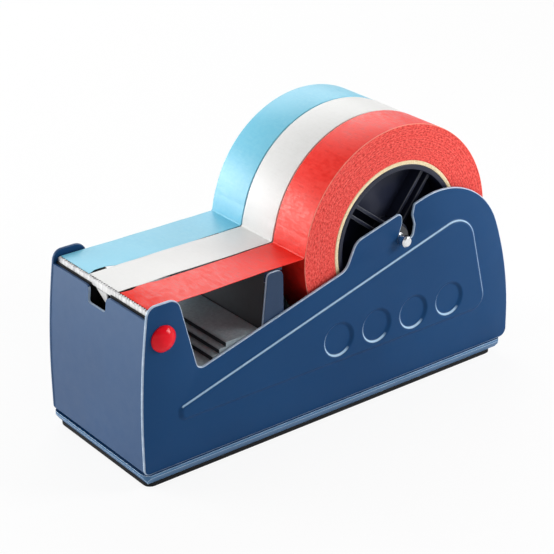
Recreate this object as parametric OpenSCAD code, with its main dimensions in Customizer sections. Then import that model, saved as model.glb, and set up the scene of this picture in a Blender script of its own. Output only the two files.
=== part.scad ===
// Bench tape dispenser for three rolls of tape side by side on one axle.
// X runs across the body, the blade end is at -Y and Z points up from the bench.
// Outlines of the side view are drawn in [along, up] measured from the axle.

/* [Tape rolls] */
// Width of one tape
tape_w = 25; // [18:0.5:32]
// Outer diameter of a full roll
roll_d = 118; // [105:1:130]
// Inner diameter of the cardboard core
core_d = 76.2; // [70:0.1:80]
// Wall of the cardboard core
core_wall = 2; // [1.5:0.1:3.5]
// Free gap between neighbouring rolls
roll_gap = 0.7; // [0.5:0.1:2]
// Free gap between an outer roll and its side plate
side_gap = 1.8; // [1.2:0.1:4]
// Height of the tape's underside above the axle
tape_rise = 5.05; // [3:0.05:7]
// Thickness of the free tape
tape_t = 0.35; // [0.2:0.05:0.6]

/* [Body] */
// Length from the front of the rolls to the front edge
tape_run = 99; // [92:1:120]
// Length from the back of the rolls to the rear edge
rear_margin = 17.5; // [14:0.5:25]
// Height of the rolls above the base plate
well_gap = 19.2; // [14:0.2:26]
// Thickness of the side sheets
sheet_t = 1.5; // [1.2:0.1:2]
// Radius of the bow in the front edge
front_bow_r = 425; // [350:5:700]
// Radius of the bow in the rear edge
rear_bow_r = 160; // [140:5:220]
// Height above the base plate where the front edge starts to bow
front_bow_h = 16; // [8:1:24]
// Height above the base plate where the rear edge starts to bow
rear_bow_h = 12; // [6:1:18]

/* [Side plate outline] */
// Height of the ear's top above the axle
ear_top = 8.6; // [7.5:0.1:12]
// Length of the ear's top
ear_len = 17; // [15:0.5:21]
// Setback of the valley's corner from the front edge
valley_setback = 32.8; // [30:0.2:38]
// Drop of the valley's corner below the axle
valley_drop = 31.8; // [26:0.2:36]
// Slope of the long edge behind the valley, in degrees
slope_deg = 15.6; // [14:0.1:17]
// Distance of the step's foot in front of the axle
step_front = 35.4; // [30:0.2:42]
// Length of the step
step_run = 6.3; // [4:0.1:9]
// Height of the step
step_rise = 13.5; // [11:0.5:16]
// Slope of the edge above the step, in degrees
brow_deg = 15.1; // [13:0.1:17]
// Radius of the hump
hump_r = 33; // [24:1:34]

/* [Raised panel] */
// Height that the panel is pressed out
press_h = 1.4; // [0.8:0.1:1.8]
// Width of the panel's sloping border
press_border = 1.8; // [1:0.1:2.4]
// Height of the panel's lower line above the base plate
press_low = 22.5; // [18:0.5:26]
// Distance of the panel's upper line below the valley's corner
press_under = 12.2; // [10:0.2:15]
// Distance of the panel from the front edge
press_front = 20.6; // [17:0.2:26]
// Distance of the panel from the rear edge
press_rear = 16.1; // [13:0.2:20]
// Diameter of a dished disc
disc_d = 18.7; // [14:0.1:20]
// Pitch of the dished discs
disc_pitch = 24.6; // [21:0.2:26]
// Distance of the rearmost disc behind the axle
disc_rear = 32.6; // [28:0.2:36]
// Height of the discs above the panel's lower line
disc_rise = 13; // [11.5:0.1:15]

/* [Axle and hubs] */
// Diameter of the axle
axle_d = 6; // [5:0.1:8]
// Diameter of the necks that lie in the slots
neck_d = 4.5; // [3.8:0.1:4.8]
// Length of the axle's ends past the side plates
axle_end = 5; // [3:0.2:8]
// Lean of the lift out of the slots, in degrees
lift_deg = 19; // [15:0.5:22]
// Wall of the hub's rim
rim_wall = 2.6; // [2:0.1:4]
// Diameter of the hub's boss
boss_d = 15; // [12:0.5:20]
// Thickness of the hub's web
web_t = 3; // [2:0.2:5]
// Thickness of one spoke rib
rib_t = 2; // [1.5:0.1:3]
// Spread of the two ribs of a spoke
rib_spread = 5.5; // [4.5:0.1:7]
// Setback of the ribs from the hub's faces
rib_setback = 4; // [2:0.2:7]
// Turn of the spokes from the upright, in degrees
spoke_turn = 38; // [0:1:90]

/* [Blade and carrier] */
// Thickness of the blade
blade_t = 0.8; // [0.6:0.1:1]
// Height of the blade's strip
blade_h = 3.8; // [3:0.1:6]
// Pitch of the teeth
tooth_pitch = 2; // [1.5:0.1:3]
// Height of the teeth
tooth_h = 1.1; // [0.6:0.1:1.6]
// Wall of the blade carrier
carrier_wall = 2.6; // [2:0.1:3]
// Length of the carrier's top
carrier_len = 13.2; // [12:0.2:15]
// Height of the carrier
carrier_h = 23; // [20:0.5:28]
// Distance of the tie rod behind the front edge
tie_setback = 13.6; // [12.8:0.1:14.4]
// Distance of the tie rod below the axle
tie_drop = 9.1; // [8.5:0.1:10.5]
// Diameter of the tie rod
tie_d = 4; // [3.5:0.1:4.4]
// Diameter of the red cap
cap_d = 13.3; // [12.6:0.1:15]
// Height of the red cap
cap_h = 4; // [3.9:0.1:5]

/* [Front and rear panels] */
// Thickness of the panels
panel_t = 1.2; // [0.8:0.1:1.6]
// Setback of the front panel behind the front edge
front_inset = 0.3; // [0.1:0.1:1]
// Drop of the front panel's top below the ear's top
front_drop = 6.8; // [6:0.1:8]
// Slit between the front panel and the base plate
front_slit = 1.7; // [1:0.1:3]
// Width of the finger notch
notch_w = 15; // [12:0.5:18]
// Depth of the finger notch
notch_depth = 8; // [6:0.2:10]
// Setback of the rear panel from the rear edge
rear_inset = 5; // [4.5:0.1:7]
// Height of the rear panel
rear_h = 42; // [30:1:48]
// Depth of the panels' side flanges
flange_depth = 8; // [6:0.5:9]

/* [Base and ballast] */
// Thickness of the anti-slip pad
pad_t = 2.3; // [1.5:0.1:4]
// Thickness of the base plate
base_t = 5.5; // [5:0.1:7]
// Overhang of the base plate past the side plates
base_lip = 1; // [0.6:0.1:1.4]
// Undercut of the base plate's edge
base_undercut = 2.5; // [1.5:0.1:3.5]
// Setback of the base plate from the rear edge
base_rear = 4; // [3:0.5:4.5]
// Height of the ballast block
ballast_h = 54.7; // [48:0.5:58]
// Length of the ballast block's flat top
ballast_top = 21; // [17:0.5:24]
// Height of one step of the ballast block
ballast_step_h = 2.5; // [2:0.1:3]
// Length of one step of the ballast block
ballast_step_len = 4; // [3:0.1:5]
// Gap between the rolls and the tape bridge
bridge_gap = 14.4; // [10:0.2:18]
// Length of the tape bridge's top
bridge_len = 9.4; // [8:0.2:11]
// Lean of the tape bridge's web, in degrees
bridge_lean = 6.8; // [4:0.2:8]

/* [Hidden] */
$fn = 64;

BODY_BLUE = [0.07, 0.17, 0.33];
HUB_NAVY = [0.06, 0.07, 0.10];
STEEL = [0.75, 0.76, 0.78];
CARD = [0.87, 0.74, 0.52];
TAPE_BLUE = [0.45, 0.78, 0.92];
TAPE_WHITE = [0.92, 0.92, 0.91];
TAPE_RED = [0.90, 0.15, 0.13];

// Clearances: round fits, seats that only touch, parts that pass each other, soft tape over hard edges
fit = 0.05;
seat_ease = 0.1;
pass = 0.3;
eps = 0.01;

// Main derived sizes
roll_r = roll_d / 2;
roll_pitch = tape_w + roll_gap;
stack_x = 1.5 * tape_w + roll_gap;
inner_x = stack_x + side_gap;
face_x = inner_x + sheet_t;
front_reach = roll_r + tape_run;
rear_reach = roll_r + rear_margin;
floor_v = -(roll_r + well_gap);
axle_h = pad_t + base_t - floor_v;
axle_y = (front_reach - rear_reach) / 2;
hub_half = tape_w / 2;
rim_d = core_d - 2 * fit;
rim_bore = rim_d - 2 * rim_wall;

// Bowed front and rear edges of the side view
bow_v = floor_v + front_bow_h;
rear_bow_v = floor_v + rear_bow_h;
function bow(v, start, r) = pow(max(0, v - start), 2) / (2 * r);
function front_edge(v) = -front_reach + bow(v, bow_v, front_bow_r);
function rear_edge(v) = rear_reach - bow(v, rear_bow_v, rear_bow_r);
function steps(a, b, n) = [for (i = [0 : n]) a + (b - a) * i / n];
function reversed(list) = [for (i = [len(list) - 1 : -1 : 0]) list[i]];
function front_path(inset, low, high) = [for (v = steps(low, high, 8)) [front_edge(v) + inset, v]];
function rear_path(inset, low, high) = [for (v = steps(low, high, 8)) [rear_edge(v) - inset, v]];
function front_band(a, b, low, high) = concat(front_path(a, low, high), reversed(front_path(b, low, high)));
function rear_band(a, b, low, high) = concat(rear_path(a, low, high), reversed(rear_path(b, low, high)));

// Outlines with rounded corners: each corner is [along, up, radius]
arc_sag = 0.05;
function unit(v) = v / norm(v);
function flat(corner) = [corner[0], corner[1]];
function arc_points(p, c, n, r, segments) =
  let (
    a = unit(p - c),
    b = unit(n - c),
    half = acos(a * b) / 2,
    start = c + a * r / tan(half),
    centre = c + unit(a + b) * r / sin(half),
    turn = (180 - 2 * half) * sign(cross(c - p, n - c)),
    first = atan2(start[1] - centre[1], start[0] - centre[0]),
    fine = max(2, ceil(abs(turn) / (2 * acos(1 - arc_sag / max(r, 2 * arc_sag))))),
    count = segments > 0 ? segments : fine
  )
  [for (t = steps(0, turn, count)) centre + r * [cos(first + t), sin(first + t)]];
function rounded(corners, segments = 0) =
  let (n = len(corners))
  [for (i = [0 : n - 1])
    let (c = corners[i])
    each c[2] == 0
      ? [flat(c)]
      : arc_points(flat(corners[(i + n - 1) % n]), flat(c), flat(corners[(i + 1) % n]), c[2], segments)];

// Lines [along, up, direction in degrees], used for the raised panel
function shifted(l, d) = [l[0] - d * sin(l[2]), l[1] + d * cos(l[2]), l[2]];
function meet(a, b) =
  let (
    da = [cos(a[2]), sin(a[2])],
    db = [cos(b[2]), sin(b[2])],
    t = cross(flat(b) - flat(a), db) / cross(da, db)
  )
  flat(a) + t * da;

// Corners of the side plate
ear_front_r = 4;
ear_rear_r = 5;
valley_r = 3.5;
step_foot_r = 6;
step_brow_r = 5.5;
toe_r = 3;
heel_r = 4.5;
valley = [-front_reach + valley_setback, -valley_drop];
step_foot = [-step_front, valley[1] + tan(slope_deg) * (-step_front - valley[0])];
step_brow = step_foot + [step_run, step_rise];
function brow_line(u) = step_brow[1] + tan(brow_deg) * (u - step_brow[0]);

// Axle slot: straight way out along the lift, with the seat under its front wall
slot_half = neck_d / 2 + fit;
seat_r = neck_d / 2 + seat_ease;
lip_ease = 0.2;
knee_v = 8.5;
throat_v = 11.2;
throat_room = 0.8;
belly_v = 5.6;
belly_room = 4.4;
slot_floor_v = -0.9;
slot_floor_room = 5.4;
lip_front_r = 2.2;
lip_rear_r = 1.8;
function lift_front(v) = (v * sin(lift_deg) - slot_half) / cos(lift_deg);
function lift_rear(v) = (v * sin(lift_deg) + slot_half) / cos(lift_deg);
lip_front_u = lift_front(knee_v) - lip_ease;
lip_rear_u = lift_rear(brow_line(lift_rear(brow_line(0)))) + lip_ease;
slot_corners = [
  [lip_front_u, brow_line(lip_front_u), lip_front_r],
  [lift_front(knee_v), knee_v, 1.2],
  [-slot_half * cos(lift_deg), slot_half * sin(lift_deg), 0],
  [0.4 * seat_r, -0.7 * seat_r, 0],
  [lift_rear(slot_floor_v) + slot_floor_room, slot_floor_v, 3],
  [lift_rear(belly_v) + belly_room, belly_v, 4],
  [lift_rear(throat_v) + throat_room, throat_v, 3],
  [lip_rear_u, brow_line(lip_rear_u), lip_rear_r]
];

// Hump: the upper line meets the tangent of the rear bow at its last point
rear_last_v = -3;
rear_tangent = -(rear_last_v - rear_bow_v) / rear_bow_r;
rear_foot = rear_edge(rear_last_v) - rear_tangent * rear_last_v;
hump_v = brow_line(rear_foot) / (1 - tan(brow_deg) * rear_tangent);
hump_u = rear_edge(rear_last_v) + rear_tangent * (hump_v - rear_last_v);
side_corners = concat(
  [[-front_reach, floor_v, toe_r]],
  [for (v = steps(bow_v, ear_top - 2 * ear_front_r, 6)) [front_edge(v), v, 0]],
  [[front_edge(ear_top), ear_top, ear_front_r]],
  [[front_edge(ear_top) + ear_len, ear_top, ear_rear_r]],
  [[valley[0], valley[1], valley_r]],
  [[step_foot[0], step_foot[1], step_foot_r]],
  [[step_brow[0], step_brow[1], step_brow_r]],
  slot_corners,
  [[hump_u, hump_v, hump_r]],
  [for (v = steps(rear_last_v, rear_bow_v, 8)) [rear_edge(v), v, 0]],
  [[rear_reach, floor_v, heel_r]]
);

// Raised panel of the side plate
press_rear_lean = 13;
press_slope = 15.9;
press_lines = [
  [0, floor_v + press_low, 0],
  [rear_reach - press_rear, floor_v + press_low, 90 + press_rear_lean],
  [valley[0], valley[1] - press_under, 180 + press_slope],
  [-front_reach + press_front, 0, 270]
];
press_radii = [8, 15, 3.5, 4];
press_segments = 8;
press_skin = 0.6 * sheet_t;
function press_outline(inset) =
  rounded([for (i = [0 : 3])
    let (p = meet(shifted(press_lines[i], inset), shifted(press_lines[(i + 1) % 4], inset)))
    [p[0], p[1], max(press_radii[i] - inset, 0.6)]], press_segments);
function at_x(outline, x) = [for (p = outline) [x, axle_y + p[0], axle_h + p[1]]];
disc_us = [for (i = [0 : 3]) disc_rear - i * disc_pitch];
disc_v = floor_v + press_low + disc_rise;
disc_border = 1.2;

// Bottom tabs of the side plates, one screw each
tab_w = 12;
tab_len = 14;
tab_us = [-front_reach + 24, -35, rear_reach - 24];
screw_d = 4;
screw_head_d = 7;
screw_head_h = 2.2;
screw_x = inner_x - tab_w / 2;
screw_tip = 1;

// Front stack: panel, blade, carrier, each behind the other
front_top = ear_top - front_drop;
notch_low_r = 1.5;
notch_top_r = 2.5;
blade_gap = 0.9;
carrier_inset = front_inset + panel_t + blade_gap + blade_t;
carrier_top = tape_rise - pass;
carrier_low = carrier_top - carrier_h;
carrier_front_top = [front_edge(carrier_top) + carrier_inset, carrier_top];
carrier_front_low = [front_edge(carrier_low) + carrier_inset, carrier_low];
carrier_rear_top = carrier_front_top + [carrier_len, 0];
carrier_rear_low = [carrier_rear_top[0] + 2, carrier_low];
carrier_ribs = 4;
blade_lean = atan2(carrier_front_top[0] - carrier_front_low[0], carrier_h);
blade_top = (tape_rise + tape_t + 0.2 - carrier_low) / cos(blade_lean);
blade_low = blade_top - blade_h;
blade_x = inner_x - pass;
tongue_half = 4.6;
tongue_len = 7.4;
tongue_tip = 1;
tongue_tip_r = 0.7;
tongue_root = 0.2;
tongue_bend = 25;
rivet_d = 3;
rivet_head_d = 5;
rivet_head_h = 0.4;
rivet_x = inner_x - 13;
rivet_drop = blade_h + 4.6;
lug_half = 5;
lug_drop = 7.8;
rail_rise = 0.8;
rail_h = 2.4;
rail_t = 0.5;
rail_top = (front_top + rail_rise - carrier_low) / cos(blade_lean);
rail_start = notch_w / 2 + 1.1;
window_half = notch_w / 2 + 0.7;
window_h = 11.5;
window_lap = 0.3;
tie =[-front_reach + tie_setback, -tie_drop];
nut_flats = 7;
nut_h = 2.2;
nut_room = 0.2;
cap_rim_h = 0.8;
tail_front = carrier_front_top[0] + 1.2;

// Tape bridge and ballast
bridge_top = tape_rise - 0.5;
bridge_rear_u = -(roll_r + bridge_gap);
bridge_front_u = bridge_rear_u - bridge_len;
bridge_web_low = -27;
bridge_low = -45;
function bridge_web(v) = bridge_front_u - (bridge_top - v) * tan(bridge_lean);
ballast_rear_u = bridge_web(bridge_web_low) - 0.4;
ballast_top_v = floor_v + ballast_h;
ballast_x = inner_x - pass;
ballast_steps = 3;
ballast_toe = 8.5;
ballast_edge_r = 0.8;
ballast_front_u = ballast_rear_u - ballast_top - (ballast_steps - 1) * ballast_step_len - ballast_toe;
bolt_d = 6;
bolt_head_d = 10;
bolt_head_h = 3;
bolt_depth = 18;
bolt_x = 24;
bolt_u = (ballast_rear_u + ballast_front_u) / 2;

// Base plate and pad in plan
base_x = face_x + base_lip;
base_land = 1.5;
base_corner_r = 4;
base_back = rear_reach - base_rear;
pad_inset = 0.6;
pad_rear = 6;

// Draws a side-view outline across the body, from x0 to x1
module across(x0, x1) {
  translate([x0, axle_y, axle_h])
    rotate([90, 0, 90])
      linear_extrude(height = x1 - x0)
        children();
}

// Round bar along X at a point of the side view, from x0 to x1
module bar(at, d, x0, x1) {
  translate([x0, axle_y + at[0], axle_h + at[1]])
    rotate([0, 90, 0])
      cylinder(d = d, h = x1 - x0);
}

// Tapered round bar along X
module taper(at, d0, d1, x0, x1) {
  translate([x0, axle_y + at[0], axle_h + at[1]])
    rotate([0, 90, 0])
      cylinder(d1 = d0, d2 = d1, h = x1 - x0);
}

// Ring about the axle
module ring(outer_d, bore_d, x0, x1) {
  difference() {
    bar([0, 0], outer_d, x0, x1);
    bar([0, 0], bore_d, x0 - 1, x1 + 1);
  }
}

// Upright round bar that stands on a height above the bench
module post(x, u, d, z0, z1) {
  translate([x, axle_y + u, z0])
    cylinder(d = d, h = z1 - z0);
}

// Raised panel above a face of the sheet, drawn in by skin and carried on into the sheet by sink
module pressing(face, skin, sink) {
  low = press_outline(skin - press_border * sink / press_h);
  high = press_outline(skin + press_border);
  n = len(low);
  polyhedron(
    points = concat(at_x(low, face - sink), at_x(high, face + press_h)),
    faces = concat(
      [[for (i = [0 : n - 1]) i]],
      [[for (i = [n - 1 : -1 : 0]) i + n]],
      [for (i = [0 : n - 1]) [i, i + n, (i + 1) % n + n, (i + 1) % n]]
    )
  );
}

module discs(x0, x1, d0, d1) {
  for (u = disc_us)
    taper([u, disc_v], d0, d1, x0, x1);
}

module tab_positions() {
  for (u = tab_us)
    translate([0, axle_y + u, 0])
      children();
}

// Right side plate; the left one is its mirror image
module side_plate() {
  base_top = axle_h + floor_v;
  difference() {
    union() {
      across(inner_x, face_x)
        polygon(rounded(side_corners));
      difference() {
        pressing(face_x, 0, sheet_t / 2);
        discs(face_x - sheet_t, face_x + press_h + 1, disc_d - 2 * disc_border, disc_d + disc_border);
      }
      tab_positions()
        translate([inner_x - tab_w, -tab_len / 2, base_top])
          cube([tab_w + sheet_t / 2, tab_len, sheet_t]);
    }
    difference() {
      pressing(inner_x, press_skin, 1);
      discs(inner_x - 2, inner_x + press_h + 1, disc_d, disc_d + disc_border);
    }
    bar([0, 0], 2 * seat_r, inner_x - 1, face_x + 1);
    bar(tie, tie_d + 2 * fit, inner_x - 1, face_x + 1);
    tab_positions()
      translate([screw_x, 0, base_top - 1])
        cylinder(d = screw_d + 2 * fit, h = sheet_t + 2);
  }
}

module right_side_plate() {
  color(BODY_BLUE)
    side_plate();
}

module left_side_plate() {
  color(BODY_BLUE)
    mirror([1, 0, 0])
      side_plate();
}

// Finger notch, cut straight through the front panel, with rounded corners at the panel's top
module finger_notch() {
  low = front_top - notch_depth;
  high = front_top + eps;
  half = notch_w / 2;
  wide = half + notch_top_r + 1;
  translate([0, axle_y - front_reach + 20, axle_h])
    rotate([90, 0, 0])
      linear_extrude(height = 30)
        polygon(rounded([
          [-half, low, notch_low_r],
          [half, low, notch_low_r],
          [half, high, notch_top_r],
          [wide, high, 0],
          [wide, high + 1, 0],
          [-wide, high + 1, 0],
          [-wide, high, 0],
          [-half, high, notch_top_r]
        ]));
}

// Bowed panel between the side plates, with a flange along each side
module front_panel() {
  low = floor_v + front_slit;
  color(BODY_BLUE)
    difference() {
      union() {
        across(-inner_x, inner_x)
          polygon(front_band(front_inset, front_inset + panel_t, low, front_top));
        for (x = [-inner_x, inner_x - panel_t])
          across(x, x + panel_t)
            polygon(front_band(front_inset, front_inset + flange_depth, low, carrier_low - 1));
      }
      finger_notch();
    }
}

module rear_panel() {
  high = floor_v + rear_h;
  color(BODY_BLUE)
    union() {
      across(-inner_x, inner_x)
        polygon(rear_band(rear_inset, rear_inset + panel_t, floor_v, high));
      for (x = [-inner_x, inner_x - panel_t])
        across(x, x + panel_t)
          polygon(rear_band(rear_inset, rear_inset + flange_depth, floor_v, high));
    }
}

// Plate with rounded corners in plan
module plan(half_x, front, back, r, z0, z1) {
  translate([0, axle_y, z0])
    linear_extrude(height = z1 - z0)
      polygon(rounded([[-half_x, front, r], [half_x, front, r], [half_x, back, r], [-half_x, back, r]]));
}

// Thick plate whose edge runs in towards the bench below a short upright land
module base_plate() {
  top = pad_t + base_t;
  land = top - base_land;
  cut = base_undercut;
  color(BODY_BLUE)
    difference() {
      intersection() {
        plan(base_x, -front_reach, base_back, base_corner_r, pad_t, top);
        translate([0, axle_y + base_back, 0])
          rotate([90, 0, 0])
            linear_extrude(height = front_reach + base_back)
              polygon([[-base_x, land], [-base_x, top], [base_x, top], [base_x, land],
                [base_x - cut, pad_t], [cut - base_x, pad_t]]);
        translate([-base_x, axle_y, 0])
          rotate([90, 0, 90])
            linear_extrude(height = 2 * base_x)
              polygon([[-front_reach, land], [-front_reach, top], [base_back, top], [base_back, land],
                [base_back - cut, pad_t], [cut - front_reach, pad_t]]);
      }
      for (side = [-1, 1])
        for (u = tab_us)
          post(side * screw_x, u, screw_d + 2 * fit, pad_t + screw_tip - 2 * seat_ease, top + 1);
      for (side = [-1, 1]) {
        post(side * bolt_x, bolt_u, bolt_d + 2 * fit, pad_t, top + 1);
        post(side * bolt_x, bolt_u, bolt_head_d + 2 * seat_ease, pad_t - 1, pad_t + bolt_head_h);
      }
    }
}

module anti_slip_pad() {
  half = base_x - base_undercut - pad_inset;
  color([0.03, 0.03, 0.035])
    plan(half, -front_reach + base_undercut + pad_inset, base_back - pad_rear, base_corner_r, 0, pad_t);
}

// Pan-head screws down through the tabs into the base plate
module tab_screws() {
  seat = pad_t + base_t + sheet_t;
  color(STEEL)
    for (side = [-1, 1])
      for (u = tab_us) {
        post(side * screw_x, u, screw_d, pad_t + screw_tip, seat + eps);
        post(side * screw_x, u, screw_head_d, seat, seat + screw_head_h);
      }
}

// Cast block with a stepped front shoulder, bolted down through the base plate
module ballast_block() {
  shoulder = ballast_rear_u - ballast_top;
  last = ballast_top_v - ballast_steps * ballast_step_h;
  treads = [for (i = [0 : ballast_steps - 1])
    let (u = shoulder - i * ballast_step_len, v = ballast_top_v - i * ballast_step_h)
    each [[u, v, ballast_edge_r], [u, v - ballast_step_h, 0]]];
  color([0.20, 0.20, 0.21])
    difference() {
      across(-ballast_x, ballast_x)
        polygon(rounded(concat(
          [[ballast_rear_u, floor_v, 0], [ballast_rear_u, ballast_top_v, ballast_edge_r]],
          treads,
          [[ballast_front_u, last, ballast_edge_r], [ballast_front_u, floor_v, 0]]
        )));
      for (side = [-1, 1])
        post(side * bolt_x, bolt_u, bolt_d + 2 * fit, axle_h + floor_v - 1, axle_h + floor_v + bolt_depth);
    }
}

module ballast_bolts() {
  head = pad_t + bolt_head_h;
  color(STEEL)
    for (side = [-1, 1]) {
      post(side * bolt_x, bolt_u, bolt_head_d, pad_t + seat_ease, head);
      post(side * bolt_x, bolt_u, bolt_d, head - eps, axle_h + floor_v + bolt_depth - 1);
    }
}

// Folded bracket under the tape: leaning web, top lip and two side flanges whose tops stand free of the lip
module tape_bridge() {
  t = sheet_t;
  relief = 0.8;
  joint_v = bridge_top - 5;
  web = [
    [bridge_front_u, bridge_top, t / 2],
    [bridge_rear_u + 1, bridge_top, 0],
    [bridge_rear_u + 1, bridge_top - t, 0],
    [bridge_front_u + t, bridge_top - t, 0],
    [bridge_web(bridge_web_low) + t, bridge_web_low, 0],
    [bridge_web(bridge_web_low), bridge_web_low, 0]
  ];
  flange = [
    [bridge_front_u, bridge_top, 2.5],
    [bridge_rear_u, bridge_top, 3.5],
    [bridge_rear_u, bridge_low, 0],
    [bridge_web(bridge_web_low), bridge_low, 0],
    [bridge_web(bridge_web_low), bridge_web_low, 0]
  ];
  cut = [
    [bridge_web(joint_v) - 1, joint_v],
    [bridge_rear_u + 2, joint_v],
    [bridge_rear_u + 2, bridge_top + 1],
    [bridge_web(joint_v) - 1, bridge_top + 1]
  ];
  color(BODY_BLUE)
    union() {
      difference() {
        across(-inner_x, inner_x)
          polygon(rounded(web));
        for (side = [0, 1])
          mirror([side, 0, 0])
            across(inner_x - t - relief, inner_x + 1)
              polygon(cut);
      }
      for (x = [-inner_x, inner_x - t])
        across(x, x + t)
          polygon(rounded(flange));
    }
}

// Rail in front of one half of the blade, with room behind it for the strip and its lug
module blade_rail() {
  room = blade_t + seat_ease;
  difference() {
    translate([rail_start, rail_top - rail_h, -eps])
      cube([inner_x - rail_start, rail_h, blade_t + rail_t + eps]);
    translate([rail_start - 1, blade_low - seat_ease, 0])
      cube([inner_x, rail_h, room]);
    translate([rivet_x - lug_half - seat_ease, 0, 0])
      cube([2 * lug_half + 2 * seat_ease, blade_top, room]);
  }
}

// Moulded channel between the ears, open below, with cross ribs on the tie rod, two rails that cover the
// blade's foot and a window behind the finger notch
module blade_carrier() {
  w = carrier_wall;
  outer = [
    [carrier_front_low[0], carrier_low, 0],
    [carrier_front_top[0], carrier_top, 0.6],
    [carrier_rear_top[0], carrier_top, 4],
    [carrier_rear_low[0], carrier_low, 0]
  ];
  hollow = [
    [carrier_front_low[0] + w, carrier_low - 1, 0],
    [carrier_front_top[0] + w, carrier_top - w, 1],
    [carrier_rear_top[0] - w, carrier_top - w, 2],
    [carrier_rear_low[0] - w, carrier_low - 1, 0]
  ];
  bay = (2 * inner_x - w) / (carrier_ribs - 1);
  color([0.04, 0.04, 0.05])
    difference() {
      union() {
        across(-inner_x, inner_x)
          polygon(rounded(outer));
        for (side = [0, 1])
          mirror([side, 0, 0])
            on_blade()
              blade_rail();
      }
      for (i = [0 : carrier_ribs - 2])
        across(-inner_x + w + i * bay, -inner_x + (i + 1) * bay)
          polygon(rounded(hollow));
      on_blade()
        translate([-window_half, blade_low + window_lap - window_h, -w - 1])
          cube([2 * window_half, window_h, w + 2]);
      bar(tie, tie_d + 2 * fit, -inner_x - 1, inner_x + 1);
      rivet_holes(rivet_d + 2 * fit);
    }
}

// Frame of the blade's plane: X across, Y up the lean, Z towards the front
module on_blade() {
  translate([0, axle_y + carrier_front_low[0], axle_h + carrier_low])
    rotate([90 - blade_lean, 0, 0])
      children();
}

module rivet_holes(d) {
  for (side = [-1, 1])
    on_blade()
      translate([side * rivet_x, blade_top - rivet_drop, -carrier_wall - 1])
        cylinder(d = d, h = carrier_wall + blade_t + 3);
}

// Toothed strip with two riveted lugs and a middle tongue, bent back behind the finger notch
module cutting_blade() {
  count = floor(2 * blade_x / tooth_pitch);
  start = -count * tooth_pitch / 2;
  teeth = [for (i = [0 : count - 1])
    each [[start + i * tooth_pitch, blade_top - tooth_h], [start + (i + 0.5) * tooth_pitch, blade_top]]];
  lug_low = blade_low - lug_drop;
  lower = [
    [blade_x, blade_low],
    [rivet_x + lug_half, blade_low], [rivet_x + lug_half, lug_low],
    [rivet_x - lug_half, lug_low], [rivet_x - lug_half, blade_low],
    [-rivet_x + lug_half, blade_low], [-rivet_x + lug_half, lug_low],
    [-rivet_x - lug_half, lug_low], [-rivet_x - lug_half, blade_low],
    [-blade_x, blade_low]
  ];
  tongue = [
    [-tongue_half, tongue_root, 0],
    [tongue_half, tongue_root, 0],
    [tongue_tip, -tongue_len, tongue_tip_r],
    [-tongue_tip, -tongue_len, tongue_tip_r]
  ];
  color(STEEL)
    difference() {
      on_blade() {
        linear_extrude(height = blade_t)
          polygon(concat(
            [[-blade_x, blade_top - tooth_h]],
            teeth,
            [[start + count * tooth_pitch, blade_top - tooth_h], [blade_x, blade_top - tooth_h]],
            lower
          ));
        translate([0, blade_low, 0])
          rotate([tongue_bend, 0, 0])
            linear_extrude(height = blade_t)
              polygon(rounded(tongue));
      }
      rivet_holes(rivet_d + 2 * fit);
    }
}

module blade_rivets() {
  color(STEEL)
    for (side = [-1, 1])
      on_blade()
        translate([side * rivet_x, blade_top - rivet_drop, 0]) {
          translate([0, 0, -carrier_wall - eps])
            cylinder(d = rivet_d, h = carrier_wall + blade_t + 2 * eps);
          translate([0, 0, blade_t])
            cylinder(d = rivet_head_d, h = rivet_head_h);
        }
}

// Threaded rod through both ears and the carrier
module tie_rod() {
  color(STEEL)
    bar(tie, tie_d, -face_x - nut_h, face_x + nut_h);
}

module tie_nuts() {
  color(STEEL)
    for (x = [-face_x - nut_h, face_x])
      difference() {
        translate([x, axle_y + tie[0], axle_h + tie[1]])
          rotate([0, 90, 0])
            cylinder(d = nut_flats / cos(30), h = nut_h, $fn = 6);
        bar(tie, tie_d + 2 * fit, x - 1, x + nut_h + 1);
      }
}

// Hollow dome on a short rim that snaps over a nut
module cap() {
  dome_h = cap_h - cap_rim_h;
  dome_r = (pow(cap_d / 2, 2) + pow(dome_h, 2)) / (2 * dome_h);
  color([0.85, 0.03, 0.06])
    difference() {
      intersection() {
        translate([face_x + cap_h - dome_r, axle_y + tie[0], axle_h + tie[1]])
          rotate([0, 90, 0])
            sphere(r = dome_r);
        bar(tie, cap_d, face_x, face_x + cap_h + 1);
      }
      bar(tie, nut_flats / cos(30) + 2 * nut_room, face_x - 1, face_x + nut_h + nut_room);
    }
}

module right_cap() {
  cap();
}

module left_cap() {
  mirror([1, 0, 0])
    cap();
}

// Rod with a neck in each slot and chamfered ends
module axle() {
  chamfer = 0.8;
  tip = face_x + axle_end;
  neck0 = inner_x - seat_ease;
  neck1 = face_x + 2 * seat_ease;
  color(STEEL)
    union() {
      bar([0, 0], axle_d, -neck0, neck0);
      for (side = [0, 1])
        mirror([side, 0, 0]) {
          bar([0, 0], neck_d, neck0 - eps, neck1 + eps);
          bar([0, 0], axle_d, neck1, tip - chamfer);
          taper([0, 0], axle_d, axle_d - 2 * chamfer, tip - chamfer, tip);
        }
    }
}

module end_spacers() {
  ease = 0.15;
  color([0.85, 0.85, 0.82])
    for (x = [-inner_x + ease + seat_ease, stack_x + ease])
      ring(2 * axle_d, axle_d + 2 * fit, x, x + side_gap - 2 * ease - seat_ease);
}

module hub_washers() {
  ease = 0.15;
  color([0.85, 0.85, 0.82])
    for (x = [-roll_pitch / 2, roll_pitch / 2])
      ring(boss_d, axle_d + 2 * fit, x - roll_gap / 2 + ease, x + roll_gap / 2 - ease);
}

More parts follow.
